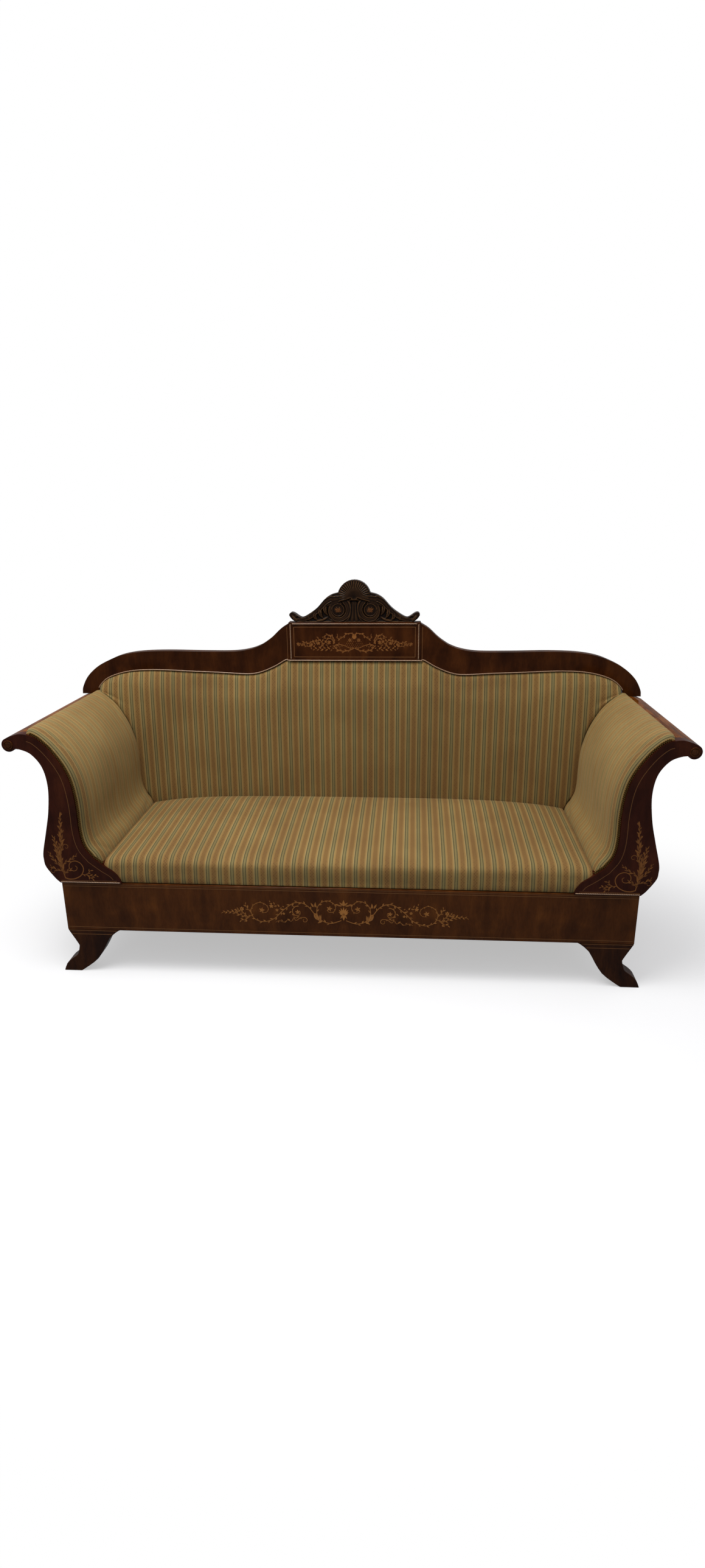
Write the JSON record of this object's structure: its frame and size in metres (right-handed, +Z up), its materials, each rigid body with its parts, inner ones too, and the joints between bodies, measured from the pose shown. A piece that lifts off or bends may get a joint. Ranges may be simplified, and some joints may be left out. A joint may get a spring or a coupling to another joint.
{
  "type": "carved sofa",
  "caption": "Scroll-arm sofa with a carved shell crest, serpentine back rail, inlaid apron, splayed bracket feet and fixed striped upholstery.",
  "frame": {"origin": "on the floor, under the middle of the whole sofa", "axes": "+X to the right as seen from the front, +Y to the back, +Z up"},
  "size_m": [2.1236, 0.6506, 1.248],
  "materials": {
    "mahogany": "French-polished mahogany veneer, dark red-brown, glossy",
    "arm_mahogany": "French-polished mahogany, worn lighter, high gloss",
    "carved_wood": "carved mahogany, stained dark, waxed",
    "pine": "raw softwood, aged",
    "rope": "light wood rope bead, polished",
    "striped_cloth": "woven stripe in gold and grey-green with a chain motif",
    "braid": "woven gimp braid",
    "linen": "plain coarse linen",
    "jute": "jute webbing",
    "steel": "dull spring wire"
  },
  "bodies": {
    "root": {"front_seat_rail": "mahogany", "back_seat_rail": "pine", "left_seat_rail": "mahogany", "right_seat_rail": "mahogany", "left_front_corner_block": "pine", "left_back_corner_block": "pine", "right_front_corner_block": "pine", "right_back_corner_block": "pine", "left_bearer": "pine", "right_bearer": "pine", "left_stuffing_rail": "pine", "right_stuffing_rail": "pine", "left_front_foot": "mahogany", "left_back_foot": "mahogany", "right_front_foot": "mahogany", "right_back_foot": "mahogany", "left_arm_facade": "mahogany", "right_arm_facade": "mahogany", "left_arm_rail": "arm_mahogany", "right_arm_rail": "arm_mahogany", "left_back_post": "pine", "right_back_post": "pine", "left_outside_arm_cloth": "striped_cloth", "right_outside_arm_cloth": "striped_cloth", "left_scroll_roundel": "mahogany", "right_scroll_roundel": "mahogany", "left_arm_pad": "striped_cloth", "right_arm_pad": "striped_cloth", "left_arm_gimp": "braid", "right_arm_gimp": "braid", "left_crest_rail": "mahogany", "right_crest_rail": "mahogany", "crest_tablet": "mahogany", "carved_crest": "carved_wood", "back_bead": "rope", "back_lower_rail": "pine", "left_back_muntin": "pine", "right_back_muntin": "pine", "back_canvas": "linen", "rear_cloth": "linen", "back_pad": "striped_cloth", "seat_pad": "striped_cloth", "spring_canvas": "linen", "seat_webbing": "jute", "seat_spring_00": "steel", "seat_spring_01": "steel", "seat_spring_02": "steel", "seat_spring_03": "steel", "seat_spring_10": "steel", "seat_spring_11": "steel", "seat_spring_12": "steel", "seat_spring_13": "steel"}
  },
  "joints": []
}
